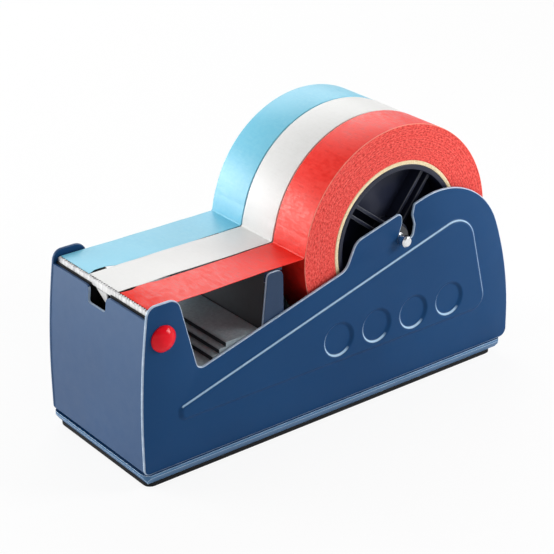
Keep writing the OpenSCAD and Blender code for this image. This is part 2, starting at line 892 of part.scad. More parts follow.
// Boss and web of a hub, turning on the axle
module hub(x) {
  color(HUB_NAVY)
    difference() {
      union() {
        bar([0, 0], boss_d, x - hub_half, x + hub_half);
        bar([0, 0], rim_bore - 2 * fit, x - web_t / 2, x + web_t / 2);
      }
      bar([0, 0], axle_d + 2 * fit, x - hub_half - 1, x + hub_half + 1);
    }
}

module left_hub() {
  hub(-roll_pitch);
}

module middle_hub() {
  hub(0);
}

module right_hub() {
  hub(roll_pitch);
}

// Rim of a hub, which carries the core
module hub_rim(x) {
  color(HUB_NAVY)
    ring(rim_d, rim_bore, x - hub_half, x + hub_half);
}

module left_hub_rim() {
  hub_rim(-roll_pitch);
}

module middle_hub_rim() {
  hub_rim(0);
}

module right_hub_rim() {
  hub_rim(roll_pitch);
}

// Four double ribs on each face of the web, from the boss to the rim
module hub_ribs(x) {
  foot = web_t / 2 + fit;
  rib_in = sqrt(pow(boss_d / 2, 2) - pow((rib_spread - rib_t) / 2, 2)) + fit;
  rib_out = sqrt(pow(rim_bore / 2, 2) - pow((rib_spread + rib_t) / 2, 2)) - fit;
  rib_h = hub_half - rib_setback - foot;
  color(HUB_NAVY)
    for (turn = [0 : 90 : 270])
      for (side = [-1, 1])
        for (face = [0, 1])
          translate([x, axle_y, axle_h])
            rotate([turn - spoke_turn, 0, 0])
              mirror([face, 0, 0])
                translate([foot, (side * rib_spread - rib_t) / 2, rib_in])
                  cube([rib_h, rib_t, rib_out - rib_in]);
}

module left_hub_ribs() {
  hub_ribs(-roll_pitch);
}

module middle_hub_ribs() {
  hub_ribs(0);
}

module right_hub_ribs() {
  hub_ribs(roll_pitch);
}

module core(x) {
  color(CARD)
    ring(core_d + 2 * core_wall, core_d, x - tape_w / 2, x + tape_w / 2);
}

module left_core() {
  core(-roll_pitch);
}

module middle_core() {
  core(0);
}

module right_core() {
  core(roll_pitch);
}

// Wound tape on its core
module winding(x) {
  ring(roll_d, core_d + 2 * core_wall + 2 * fit, x - tape_w / 2, x + tape_w / 2);
}

module blue_tape_roll() {
  color(TAPE_BLUE)
    winding(-roll_pitch);
}

module white_tape_roll() {
  color(TAPE_WHITE)
    winding(0);
}

module red_tape_roll() {
  color(TAPE_RED)
    winding(roll_pitch);
}

// Free stretch of tape from the roll over the bridge to the blade
module tail(x) {
  difference() {
    across(x - tape_w / 2, x + tape_w / 2)
      polygon([[tail_front, tape_rise], [-roll_r / 2, tape_rise],
        [-roll_r / 2, tape_rise + tape_t], [tail_front, tape_rise + tape_t]]);
    bar([0, 0], roll_d + 2 * pass, x - tape_w, x + tape_w);
  }
}

module blue_tape_tail() {
  color(TAPE_BLUE)
    tail(-roll_pitch);
}

module white_tape_tail() {
  color(TAPE_WHITE)
    tail(0);
}

module red_tape_tail() {
  color(TAPE_RED)
    tail(roll_pitch);
}

base_plate();
anti_slip_pad();
left_side_plate();
right_side_plate();
front_panel();
rear_panel();
tab_screws();
ballast_block();
ballast_bolts();
tape_bridge();
blade_carrier();
cutting_blade();
blade_rivets();
tie_rod();
tie_nuts();
left_cap();
right_cap();
axle();
end_spacers();
hub_washers();
left_hub();
middle_hub();
right_hub();
left_hub_rim();
middle_hub_rim();
right_hub_rim();
left_hub_ribs();
middle_hub_ribs();
right_hub_ribs();
left_core();
middle_core();
right_core();
blue_tape_roll();
white_tape_roll();
red_tape_roll();
blue_tape_tail();
white_tape_tail();
red_tape_tail();
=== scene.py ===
import math
import random

import bmesh
import bpy
from mathutils import Matrix, Vector
from mathutils.geometry import delaunay_2d_cdt


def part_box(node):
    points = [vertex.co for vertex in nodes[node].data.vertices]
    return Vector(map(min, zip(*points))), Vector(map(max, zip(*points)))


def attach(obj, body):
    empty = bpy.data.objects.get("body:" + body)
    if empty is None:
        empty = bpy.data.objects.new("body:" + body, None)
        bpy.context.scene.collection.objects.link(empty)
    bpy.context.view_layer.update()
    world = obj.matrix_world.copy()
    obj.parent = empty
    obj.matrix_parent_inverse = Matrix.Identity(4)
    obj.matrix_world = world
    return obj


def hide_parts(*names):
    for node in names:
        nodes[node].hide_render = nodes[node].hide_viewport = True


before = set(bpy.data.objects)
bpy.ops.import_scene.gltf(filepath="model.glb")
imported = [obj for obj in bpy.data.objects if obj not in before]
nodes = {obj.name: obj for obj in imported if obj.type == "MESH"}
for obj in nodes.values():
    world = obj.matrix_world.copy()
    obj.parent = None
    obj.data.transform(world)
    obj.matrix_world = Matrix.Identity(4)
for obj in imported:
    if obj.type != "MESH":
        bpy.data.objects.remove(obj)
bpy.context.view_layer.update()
scene = bpy.context.scene
scene.view_settings.view_transform = "Standard"

# Sizes in millimetres, as in the part. Side-view points are (along, up) from the axle.
MM = 0.001
AXLE_Y, AXLE_Z = 40.75, 86.0
TAPE_W, ROLL_GAP, TAPE_RISE = 25.0, 0.7, 5.05
ROLL_R, CORE_R, CORE_OUT_R = 59.0, 38.1, 40.1
INNER_X, FACE_X, SHEET_T = 40.0, 41.5, 1.5
FRONT, REAR, FLOOR = -158.0, 76.5, -78.2
TIE = (-144.4, -9.1)

# Side plate: its outline, from the bowed front edge over ear, valley, step, slot and hump to the bowed rear edge
FRONT_BOW_R, FRONT_BOW_V = 425, FLOOR + 16
REAR_BOW_R, REAR_BOW_V, REAR_BOW_END_V = 160, FLOOR + 12, -10.0
BOW_STEPS = 14
EAR_TOP, EAR_LEN, EAR_DROP = 8.6, 17, 8
VALLEY = (FRONT + 32.8, -31.8)
SLOPE, BROW = math.tan(math.radians(15.6)), math.tan(math.radians(15.1))
STEP_U, STEP_RUN, STEP_RISE = -35.4, 6.3, 13.5
LIFT = math.radians(19)
SLOT_HALF, SEAT_R, SEAT_STEPS = 2.3, 2.35, 14
LIP_V, LIP_EASE = 8.5, 0.2
TOE_R, HEEL_R, EAR_FRONT_R, EAR_REAR_R = 3, 4.5, 5.5, 6.5
VALLEY_R, STEP_R, HUMP_R = 3.5, 8, 43
LIP_FRONT_R, LIP_EDGE_R, LIP_REAR_R = 2.6, 1.2, 1.8
# The slot's hook: how far each corner lies behind the slot's rear edge, its height and its radius
HOOK = ((5.4, -0.9, 3), (4.4, 5.6, 4), (0.8, 11.2, 3))

# Side plate: its rolled rim and the tabs at its foot
RIM_R, RIM_TURNS = 0.5, (30, 60, 90)
TAB_AT, TAB_REACH, TAB_ROOT, TAB_HALF = (FRONT + 24, -35.0, REAR - 24), 12.0, 0.2, 7.0

# Side plate: the raised panel, with a point and a direction in degrees on each border, and the dished discs in it
PRESS_H = 1.4
PRESS_LINES = ((0, FLOOR + 22.5, 0), (REAR - 16.1, FLOOR + 22.5, 103),
               (VALLEY[0], -44.0, 195.9), (FRONT + 20.6, 0, 270))
PRESS_RADII, PRESS_LEAST_R, PRESS_STEPS = (8, 15, 3.5, 4), 0.8, 14
PRESS_INSETS = (-0.8, -0.4, -0.05, 0.3, 0.65, 1.0, 1.35, 1.75, 2.15, 2.5)
PRESS_START, PRESS_RUN = -0.4, 2.55
DISCS, DISC_U, DISC_V, DISC_PITCH = 4, 32.6, FLOOR + 35.5, 24.6
DISC_RADII = (10.3, 9.9, 9.55, 9.2, 8.8, 8.4, 8.0, 7.6, 7.2)
DISC_FLAT_R, DISC_RUN, DISC_STEPS = 7.6, 2.3, 72

# Hubs: boss, web and rim, and spokes of two ribs with rounded edges (RIB_TURN in radians)
HUB_BORE_R, BOSS_R, HUB_IN_R, HUB_OUT_R = 3.05, 7.5, 35.45, 38.05
WEB_HALF, HUB_SOFT, HUB_ROOT, HUB_CHAMFER, HUB_STEPS = 1.5, 0.4, 0.8, 0.3, 128
SPOKES, SPOKE_TURN = 4, 38
RIB_HALF, RIB_SOFT, RIB_TURN, RIB_STEPS = 1.0, 0.45, 1.57, 3
RIB_OFFSET, RIB_SETBACK = 2.75, 4.0
# How deep the ribs' ends are sunk into the web, the boss and the rim
RIB_IN_WEB, RIB_IN_BOSS, RIB_IN_RIM = 0.2, 0.6, 0.5
# Faces of a rib that lie on its rounded edges, which take a lighter moulding as a painted highlight
RIB_HIGHLIT = (1, 2, 3, 5, 6, 7)

# How far the edges of the strips stand out at points from the teeth (0) to the roll (1)
STRIP_EDGES = {
    ("blue_strip", -1): ((0, 0.6), (0.2, 0.3), (1, 0)),
    ("blue_strip", 1): ((0, -0.1), (0.05, -1.8), (0.11, -1.8), (0.18, 0.33), (0.65, 0.33), (0.75, -0.15), (1, -0.1)),
    ("white_strip", -1): ((0, 0.1), (0.14, 0), (0.2, 0.3), (0.62, 0.3), (0.75, 0), (1, -0.1)),
    ("white_strip", 1): ((0, 0.1), (0.08, 0), (0.12, 0.3), (0.18, 0.3), (0.26, -0.1), (1, -0.1)),
    ("red_strip", -1): ((0, -0.9), (0.06, -1.5), (0.12, 0.3), (0.17, 0.3), (0.24, -1.0), (0.7, -0.9), (1, -0.3)),
    ("red_strip", 1): ((0, 0.7), (0.25, 0.3), (1, 0)),
}


def at(x, u, v):
    """A point in metres, from millimetres across the part and from the axle in side view."""
    return Vector((x, u + AXLE_Y, v + AXLE_Z)) * MM


def spread(a, b, n):
    return [a + (b - a) * i / n for i in range(n + 1)]


def ease(t):
    t = max(0.0, min(1.0, t))
    return t * t * (3 - 2 * t)


# Outlines

def front_edge(v):
    return FRONT + max(0.0, v - FRONT_BOW_V) ** 2 / (2 * FRONT_BOW_R)


def rear_edge(v):
    return REAR - max(0.0, v - REAR_BOW_V) ** 2 / (2 * REAR_BOW_R)


def slot_edge(v, side):
    """The slanted axle slot's front (-1) or rear (1) edge at a height."""
    return (v * math.sin(LIFT) + side * SLOT_HALF) / math.cos(LIFT)


def arc_points(p, c, n, r, segments):
    """Points of the arc of radius r that rounds the corner c between p and n."""
    p, c, n = Vector(p), Vector(c), Vector(n)
    a, b = (p - c).normalized(), (n - c).normalized()
    half = math.acos(max(-1, min(1, a.dot(b)))) / 2
    start = c + a * (r / math.tan(half))
    centre = c + (a + b).normalized() * (r / math.sin(half))
    d, e = c - p, n - c
    turn = (math.pi - 2 * half) * (1 if d.x * e.y - d.y * e.x > 0 else -1)
    first = math.atan2(start.y - centre.y, start.x - centre.x)
    return [(centre.x + r * math.cos(first + t), centre.y + r * math.sin(first + t))
            for t in spread(0, turn, segments)]


def rounded(corners, segments=0):
    """The loop through corners of (u, v, radius); without a number of segments, it goes by the radius."""
    out = []
    n = len(corners)
    for i, (u, v, r) in enumerate(corners):
        if r == 0:
            out.append((u, v))
        else:
            count = segments or max(6, int(4 * math.sqrt(r)))
            out += arc_points(corners[i - 1][:2], (u, v), corners[(i + 1) % n][:2], r, count)
    return out


def seat_arc(floor_end):
    """The round seat of the axle, from the slot's front edge to the line that runs out to the hook's floor."""
    inner = (0.4 * SEAT_R, -0.7 * SEAT_R)
    du, dv = floor_end[0] - inner[0], floor_end[1] - inner[1]
    a, b = du * du + dv * dv, 2 * (inner[0] * du + inner[1] * dv)
    c = inner[0] ** 2 + inner[1] ** 2 - SEAT_R ** 2
    t = (-b + math.sqrt(b * b - 4 * a * c)) / (2 * a)
    first = math.pi - LIFT - math.acos(SLOT_HALF / SEAT_R)
    last = math.atan2(inner[1] + t * dv, inner[0] + t * du) + 2 * math.pi
    return [(SEAT_R * math.cos(q), SEAT_R * math.sin(q), 0) for q in spread(first, last, SEAT_STEPS)]


def side_outline():
    """The side plate's edge, clockwise from the front of its foot."""
    foot = (STEP_U, VALLEY[1] + SLOPE * (STEP_U - VALLEY[0]))
    crest = (foot[0] + STEP_RUN, foot[1] + STEP_RISE)

    def brow(u):
        return crest[1] + BROW * (u - crest[0])

    lip_front = slot_edge(LIP_V, -1) - LIP_EASE
    lip_rear = slot_edge(brow(slot_edge(brow(0), 1)), 1) + LIP_EASE
    hook = [(slot_edge(v, 1) + behind, v, r) for behind, v, r in HOOK]
    lean = -(REAR_BOW_END_V - REAR_BOW_V) / REAR_BOW_R
    bow_end = rear_edge(REAR_BOW_END_V)
    hump_v = brow(bow_end - lean * REAR_BOW_END_V) / (1 - BROW * lean)
    hump = (bow_end + lean * (hump_v - REAR_BOW_END_V), hump_v)
    ear = front_edge(EAR_TOP)
    corners = [(FRONT, FLOOR, TOE_R)]
    corners += [(front_edge(v), v, 0) for v in spread(FRONT_BOW_V, EAR_TOP - EAR_DROP, BOW_STEPS)]
    corners += [(ear, EAR_TOP, EAR_FRONT_R), (ear + EAR_LEN, EAR_TOP, EAR_REAR_R)]
    corners += [(*VALLEY, VALLEY_R), (*foot, STEP_R), (*crest, STEP_R)]
    corners += [(lip_front, brow(lip_front), LIP_FRONT_R), (slot_edge(LIP_V, -1), LIP_V, LIP_EDGE_R)]
    corners += seat_arc(hook[0]) + hook
    corners += [(lip_rear, brow(lip_rear), LIP_REAR_R), (*hump, HUMP_R)]
    corners += [(rear_edge(v), v, 0) for v in spread(REAR_BOW_END_V, REAR_BOW_V, BOW_STEPS)]
    corners += [(REAR, FLOOR, HEEL_R)]
    return rounded(corners)


def offset_loop(loop, d):
    """The loop moved inwards by d; the loop runs clockwise."""
    out = []
    n = len(loop)
    for i in range(n):
        p, c, q = Vector(loop[i - 1]), Vector(loop[i]), Vector(loop[(i + 1) % n])
        a, b = (c - p).normalized(), (q - c).normalized()
        na, nb = Vector((a.y, -a.x)), Vector((b.y, -b.x))
        m = (na + nb).normalized()
        k = d / max(0.5, m.dot(na))
        out.append((c.x + m.x * k, c.y + m.y * k))
    return out


def meet(a, b):
    """Where two lines of (u, v, direction) cross."""
    da, db = Vector((math.cos(a[2]), math.sin(a[2]))), Vector((math.cos(b[2]), math.sin(b[2])))
    gap = Vector((b[0] - a[0], b[1] - a[1]))
    t = (gap.x * db.y - gap.y * db.x) / (da.x * db.y - da.y * db.x)
    return a[0] + t * da.x, a[1] + t * da.y


def press_outline(inset):
    """The raised panel's border, moved inwards."""
    moved = []
    for u, v, degrees in PRESS_LINES:
        q = math.radians(degrees)
        moved.append((u - inset * math.sin(q), v + inset * math.cos(q), q))
    corners = [(*meet(line, following), max(r - inset, PRESS_LEAST_R))
               for line, following, r in zip(moved, moved[1:] + moved[:1], PRESS_RADII)]
    return rounded(corners, PRESS_STEPS)


def inside(p, loop):
    hit = False
    j = len(loop) - 1
    for i in range(len(loop)):
        (xi, yi), (xj, yj) = loop[i], loop[j]
        if (yi > p[1]) != (yj > p[1]) and p[0] < (xj - xi) * (p[1] - yi) / (yj - yi) + xi:
            hit = not hit
        j = i
    return hit


# Pieces

def new_object(name, mesh, materials, body, replaces):
    ob = bpy.data.objects.new(name, mesh)
    scene.collection.objects.link(ob)
    for m in materials:
        mesh.materials.append(m)
    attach(ob, body)
    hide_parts(*replaces)
    return ob


def mesh_of(name, verts, faces, smooth_angle=40, tags=()):
    """A mesh that is smooth up to an angle in degrees; tags are the faces' material numbers."""
    mesh = bpy.data.meshes.new(name)
    mesh.from_pydata([tuple(v) for v in verts], [], faces)
    for i, tag in enumerate(tags):
        mesh.polygons[i].material_index = tag
    bm = bmesh.new()
    bm.from_mesh(mesh)
    bmesh.ops.recalc_face_normals(bm, faces=bm.faces)
    bm.to_mesh(mesh)
    bm.free()
    mesh.shade_smooth()
    mesh.set_sharp_from_angle(angle=math.radians(smooth_angle))
    return mesh


def softened(node, width, material, body, edge_material=None):
    """A copy of a rigid CAD node with its sharp edges rounded; an edge material, if given, paints the rounded edges
    lighter, partly as wear and partly as a painted highlight.
    """
    same_point, same_plane, sharp, steps = 2e-6, math.radians(0.4), math.radians(30), 3
    mesh = nodes[node].data.copy()
    mesh.materials.clear()
    bm = bmesh.new()
    bm.from_mesh(mesh)
    bmesh.ops.remove_doubles(bm, verts=bm.verts, dist=same_point)
    bmesh.ops.dissolve_limit(bm, angle_limit=same_plane, verts=bm.verts, edges=bm.edges)
    bm.to_mesh(mesh)
    bm.free()
    if "custom_normal" in mesh.attributes:
        mesh.attributes.remove(mesh.attributes["custom_normal"])
    mesh.shade_smooth()
    materials = [material, edge_material] if edge_material else [material]
    ob = new_object(node + "_shell", mesh, materials, body, [node])
    edge = ob.modifiers.new("edges", "BEVEL")
    edge.material = 1 if edge_material else -1
    edge.width = width * MM
    edge.segments = steps
    edge.limit_method = "ANGLE"
    edge.angle_limit = sharp
    edge.harden_normals = True
    return ob


def tag_faces(ob, material, chosen):
    """Gives one more material to the faces that a test picks out."""
    ob.data.materials.append(material)
    for p in ob.data.polygons:
        if chosen(p):
            p.material_index = len(ob.data.materials) - 1


def lathe(profile, centre=(0.0, 0.0), segments=160):
    """Vertices and faces of a closed profile of (x, radius) turned about an axis along X."""
    n = len(profile)
    verts, faces = [], []
    for j in range(segments):
        q = 2 * math.pi * j / segments
        for x, r in profile:
            verts.append(at(x, centre[0] + r * math.cos(q), centre[1] + r * math.sin(q)))
    for j in range(segments):
        k = (j + 1) % segments
        for i in range(n):
            m = (i + 1) % n
            faces.append((j * n + i, j * n + m, k * n + m, k * n + i))
    return verts, faces


def fillet(x, r, radius, start, end, steps=3):
    """Points of an arc about (x, r) in the lathe's plane, from start to end degrees."""
    return [(x + radius * math.cos(math.radians(q)), r + radius * math.sin(math.radians(q)))
            for q in spread(start, end, steps)]


# Shader nodes

def nodes_of(name):
    mat = bpy.data.materials.new(name)
    mat.use_nodes = True
    tree = mat.node_tree
    return mat, tree, tree.nodes["Principled BSDF"]


def put(tree, shader, socket, value):
    tree.links.new(value, shader.inputs[socket])


def coords(tree, scale=(1, 1, 1)):
    tex = tree.nodes.new("ShaderNodeTexCoord")
    mapping = tree.nodes.new("ShaderNodeMapping")
    mapping.vector_type = "POINT"
    mapping.inputs["Scale"].default_value = scale
    tree.links.new(tex.outputs["Object"], mapping.inputs["Vector"])
    return mapping.outputs["Vector"]


def axes(tree, vector):
    """The sockets X, Y and Z of a vector."""
    split = tree.nodes.new("ShaderNodeSeparateXYZ")
    tree.links.new(vector, split.inputs[0])
    return split.outputs


def noise(tree, vector, scale, detail=3.0, rough=0.55):
    n = tree.nodes.new("ShaderNodeTexNoise")
    n.inputs["Scale"].default_value = scale
    n.inputs["Detail"].default_value = detail
    n.inputs["Roughness"].default_value = rough
    tree.links.new(vector, n.inputs["Vector"])
    return n.outputs["Fac"]


def ramp(tree, fac, stops):
    r = tree.nodes.new("ShaderNodeValToRGB")
    while len(r.color_ramp.elements) < len(stops):
        r.color_ramp.elements.new(0.5)
    for e, (position, colour) in zip(r.color_ramp.elements, stops):
        e.position = position
        e.color = (*colour, 1)
    tree.links.new(fac, r.inputs["Fac"])
    return r.outputs["Color"]


def level(tree, fac, low, high, start=0.3, end=0.7):
    """Goes from low to high while fac goes from start to end."""
    m = tree.nodes.new("ShaderNodeMapRange")
    m.inputs["From Min"].default_value = start
    m.inputs["From Max"].default_value = end
    m.inputs["To Min"].default_value = low
    m.inputs["To Max"].default_value = high
    tree.links.new(fac, m.inputs["Value"])
    return m.outputs["Result"]


def mixed(tree, fac, a, b):
    """From a to b by fac; a and b are colours or sockets."""
    m = tree.nodes.new("ShaderNodeMix")
    m.data_type = "RGBA"
    tree.links.new(fac, m.inputs[0])
    for socket, value in ((m.inputs[6], a), (m.inputs[7], b)):
        if isinstance(value, tuple):
            socket.default_value = (*value, 1)
        else:
            tree.links.new(value, socket)
    return m.outputs[2]


def math_node(tree, operation, a, b):
    """A calculation with two values, each of them a number or a socket."""
    m = tree.nodes.new("ShaderNodeMath")
    m.operation = operation
    for socket, value in ((m.inputs[0], a), (m.inputs[1], b)):
        if isinstance(value, (int, float)):
            socket.default_value = value
        else:
            tree.links.new(value, socket)
    return m.outputs[0]


def plus(tree, a, b):
    return math_node(tree, "ADD", a, b)


def times(tree, a, b):
    return math_node(tree, "MULTIPLY", a, b)


def most(tree, a, b):
    return math_node(tree, "MAXIMUM", a, b)


def bumped(tree, shader, height, distance, strength):
    b = tree.nodes.new("ShaderNodeBump")
    b.inputs["Distance"].default_value = distance
    b.inputs["Strength"].default_value = strength
    tree.links.new(height, b.inputs["Height"])
    tree.links.new(b.outputs["Normal"], shader.inputs["Normal"])


def shiny(shader, shine, tint=(1.0, 1.0, 1.0)):
    shader.inputs["Specular IOR Level"].default_value = shine
    shader.inputs["Specular Tint"].default_value = (*tint, 1.0)


# Materials

def paint(name, deep, light, rough=0.42, shine=0.35, highlit=None):
    """Blue paint. Where highlit colours are given, it turns lighter in patches on steep slopes that look up or to the
    rear, as a painted highlight on the pressed borders and discs.
    """
    mat, tree, bsdf = nodes_of(name)
    here = coords(tree)
    colour = ramp(tree, noise(tree, here, scale=14, detail=2), [(0.3, deep), (0.7, light)])
    if highlit:
        facing = tree.nodes.new("ShaderNodeTexCoord").outputs["Normal"]
        tilt = tree.nodes.new("ShaderNodeVectorMath")
        tilt.operation = "DOT_PRODUCT"
        tilt.inputs[1].default_value = (0, 0.66, 0.75)
        tree.links.new(facing, tilt.inputs[0])
        across = axes(tree, facing)["X"]
        steep = level(tree, times(tree, across, across), 1.0, 0.0, start=0.62, end=0.69)
        upward = level(tree, tilt.outputs["Value"], 0.0, 1.0, start=0.0, end=0.18)
        patches = noise(tree, here, scale=240, detail=4, rough=0.6)
        highlight = ramp(tree, patches, [(0.3, highlit[0]), (0.7, highlit[1])])
        colour = mixed(tree, times(tree, steep, upward), colour, highlight)
    put(tree, bsdf, "Base Color", colour)
    put(tree, bsdf, "Roughness", level(tree, noise(tree, here, scale=160, detail=4), rough, rough + 0.08))
    bumped(tree, bsdf, noise(tree, here, scale=900, detail=2), distance=0.00003, strength=0.4)
    shiny(bsdf, shine, tint=(0.72, 0.86, 1.0))
    return mat


def worn_and_highlit(name, coat, bare):
    """Lighter paint for rounded edges, brighter in patches: partly paint worn thin along an edge and partly a painted
    highlight where light would catch the edge.
    """
    mat, tree, bsdf = nodes_of(name)
    wear_and_glints = noise(tree, coords(tree), scale=240, detail=4, rough=0.6)
    put(tree, bsdf, "Base Color", ramp(tree, wear_and_glints, [(0.30, coat), (0.70, bare)]))
    put(tree, bsdf, "Roughness", level(tree, wear_and_glints, 0.28, 0.38))
    bumped(tree, bsdf, wear_and_glints, distance=0.00002, strength=0.3)
    return mat


def crepe(name, main, pale, deep, shine=0.55, tint=(1.0, 1.0, 1.0), rumpled=False):
    """Creped paper tape: fine wrinkles across the width, blotches where it lies off the layer below.

    A rumpled tape has a coarser grain, and is matt and more blotched at its end by the blade.
    """
    mat, tree, bsdf = nodes_of(name)
    wrinkle = noise(tree, coords(tree, (140, 900, 900)), scale=1, detail=5, rough=0.65)
    blotch = noise(tree, coords(tree), scale=420, detail=4, rough=0.6)
    cloud = noise(tree, coords(tree), scale=26, detail=2)
    grain = plus(tree, times(tree, wrinkle, 0.5), times(tree, blotch, 0.5))
    tone = ramp(tree, grain, [(0.38, deep), (0.5, main), (0.62, pale)])
    if rumpled:
        along, ragged = axes(tree, coords(tree))["Y"], noise(tree, coords(tree), scale=110, detail=3)
        end = level(tree, plus(tree, along, times(tree, ragged, 0.03)), 0.9, 0.0, start=-0.099, end=-0.078)
        share = most(tree, level(tree, cloud, 0.2, 0.7), end)
        gloss = plus(tree, level(tree, grain, 0.30, 0.53, start=0.40, end=0.60), times(tree, end, 0.45))
        relief = 0.6
    else:
        share, gloss, relief = level(tree, cloud, 0.1, 0.55), level(tree, wrinkle, 0.34, 0.46), 0.45
    put(tree, bsdf, "Base Color", mixed(tree, share, main, tone))
    put(tree, bsdf, "Roughness", gloss)
    bumped(tree, bsdf, plus(tree, wrinkle, times(tree, blotch, 0.6)), distance=0.00012, strength=relief)
    shiny(bsdf, shine, tint)
    return mat


def layers(name, main, pale, deep, pitch=2600.0):
    """Cut edges of a wound roll: fine rings about the axle with specks."""
    mat, tree, bsdf = nodes_of(name)
    from_axle = tree.nodes.new("ShaderNodeVectorMath")
    from_axle.operation = "MULTIPLY_ADD"
    from_axle.inputs[1].default_value = (0, 1, 1)
    from_axle.inputs[2].default_value = (0, -AXLE_Y * MM, -AXLE_Z * MM)
    tree.links.new(tree.nodes.new("ShaderNodeTexCoord").outputs["Object"], from_axle.inputs[0])
    size = tree.nodes.new("ShaderNodeVectorMath")
    size.operation = "LENGTH"
    tree.links.new(from_axle.outputs["Vector"], size.inputs[0])
    radius = size.outputs["Value"]
    rings = tree.nodes.new("ShaderNodeTexNoise")
    rings.noise_dimensions = "1D"
    rings.inputs["Scale"].default_value = pitch
    rings.inputs["Detail"].default_value = 2
    tree.links.new(radius, rings.inputs["W"])
    split = axes(tree, from_axle.outputs["Vector"])
    turn = math_node(tree, "ARCTAN2", split["Y"], split["Z"])
    polar = tree.nodes.new("ShaderNodeCombineXYZ")
    tree.links.new(times(tree, radius, 1300.0), polar.inputs[0])
    tree.links.new(times(tree, turn, 34.0), polar.inputs[1])
    specks = noise(tree, polar.outputs[0], scale=1, detail=4, rough=0.7)
    both = plus(tree, times(tree, rings.outputs["Fac"], 0.3), times(tree, specks, 0.7))
    put(tree, bsdf, "Base Color", ramp(tree, both, [(0.38, deep), (0.5, main), (0.63, pale)]))
    put(tree, bsdf, "Roughness", level(tree, specks, 0.5, 0.7))
    bumped(tree, bsdf, both, distance=0.00022, strength=0.5)
    shiny(bsdf, 0.15)
    return mat


def metal(name, colour, dark, stretch, rough):
    """Brushed metal; stretch says how fine the brush marks are along each axis."""
    mat, tree, bsdf = nodes_of(name)
    brush = noise(tree, coords(tree, stretch), scale=1, detail=4, rough=0.6)
    put(tree, bsdf, "Base Color", ramp(tree, brush, [(0.3, dark), (0.7, colour)]))
    put(tree, bsdf, "Roughness", level(tree, brush, rough, rough + 0.14))
    bumped(tree, bsdf, brush, distance=0.00002, strength=0.3)
    bsdf.inputs["Metallic"].default_value = 1.0
    return mat


def painted_light_below(mat, height):
    """Turns a metal pale and matt under a height, as painted light that keeps the part below bright where it sits in
    shade.
    """
    tree = mat.node_tree
    bsdf = tree.nodes["Principled BSDF"]
    blur = 0.4
    metal_share = level(tree, axes(tree, coords(tree))["Z"], 0.0, 1.0, (height - blur) * MM, (height + blur) * MM)
    brushed = bsdf.inputs["Base Color"].links[0].from_socket
    put(tree, bsdf, "Base Color", mixed(tree, metal_share, (0.90, 0.90, 0.89), brushed))
    put(tree, bsdf, "Metallic", level(tree, metal_share, 0.1, 1.0, start=0.0, end=1.0))


def plastic(name, colour, pale, rough, grain=1500, depth=0.00003, coat=0.0, shine=0.3):
    mat, tree, bsdf = nodes_of(name)
    here = coords(tree)
    put(tree, bsdf, "Base Color", ramp(tree, noise(tree, here, scale=45), [(0.3, colour), (0.75, pale)]))
    put(tree, bsdf, "Roughness", level(tree, noise(tree, here, scale=220), rough - 0.05, rough + 0.07))
    bumped(tree, bsdf, noise(tree, here, scale=grain, detail=2), depth, strength=0.5)
    shiny(bsdf, shine)
    bsdf.inputs["Coat Weight"].default_value = coat
    bsdf.inputs["Coat Roughness"].default_value = 0.05
    return mat


def rough_cast(name, colour, pale, rough, grain, depth, shine=0.5):
    mat, tree, bsdf = nodes_of(name)
    grit = noise(tree, coords(tree), scale=grain, detail=5, rough=0.65)
    put(tree, bsdf, "Base Color", ramp(tree, grit, [(0.3, colour), (0.7, pale)]))
    put(tree, bsdf, "Roughness", level(tree, grit, rough, rough + 0.15))
    bumped(tree, bsdf, grit, depth, strength=0.7)
    shiny(bsdf, shine)
    return mat


BLUES = (0.0045, 0.047, 0.148), (0.0065, 0.058, 0.175)
# Lighter blues for the side plates' slopes that face up or to the rear, as a painted highlight
HIGHLIGHT_BLUES = (0.38, 0.58, 0.78), (0.50, 0.68, 0.85)
RED_TINT = (1.0, 0.78, 0.68)

BLUE = paint("blue_paint_coat", *BLUES, shine=0.2)
SATIN = paint("blue_paint_satin", *BLUES, rough=0.44, shine=0.9)
# The side plates' paint, with the painted highlight on their upward and rearward slopes
PLATE = paint("blue_paint_plate", *BLUES, shine=0.2, highlit=HIGHLIGHT_BLUES)
# A lighter copy of the blue paint for the base plate's sides, as painted light
BASE_LIT = paint("blue_paint_base_lit", (0.055, 0.155, 0.310), (0.080, 0.190, 0.360), shine=0.6)
BRIDGE = paint("blue_paint_bridge", (0.015, 0.037, 0.088), (0.024, 0.049, 0.108))
# Dark grey for the bridge's web, as painted shade under the tapes
SHADE = paint("bridge_web_painted_shade", (0.026, 0.026, 0.029), (0.042, 0.041, 0.044), rough=0.5, shine=0.3)
# Lighter edge paint: partly wear, partly a painted highlight along the edges
EDGE_WEAR_AND_HIGHLIGHT = worn_and_highlit("blue_paint_edge_wear_and_highlight", (0.34, 0.47, 0.65), (0.58, 0.69, 0.82))
# Very light edges of the base plate, as a painted highlight
BASE_EDGE_HIGHLIGHT = worn_and_highlit("blue_paint_base_edge_highlight", (0.50, 0.70, 0.89), (0.68, 0.83, 0.95))
RED_TAPE = crepe("red_crepe", (0.92, 0.018, 0.010), (0.93, 0.056, 0.038), (0.70, 0.008, 0.005),
                 shine=0.46, tint=RED_TINT, rumpled=True)
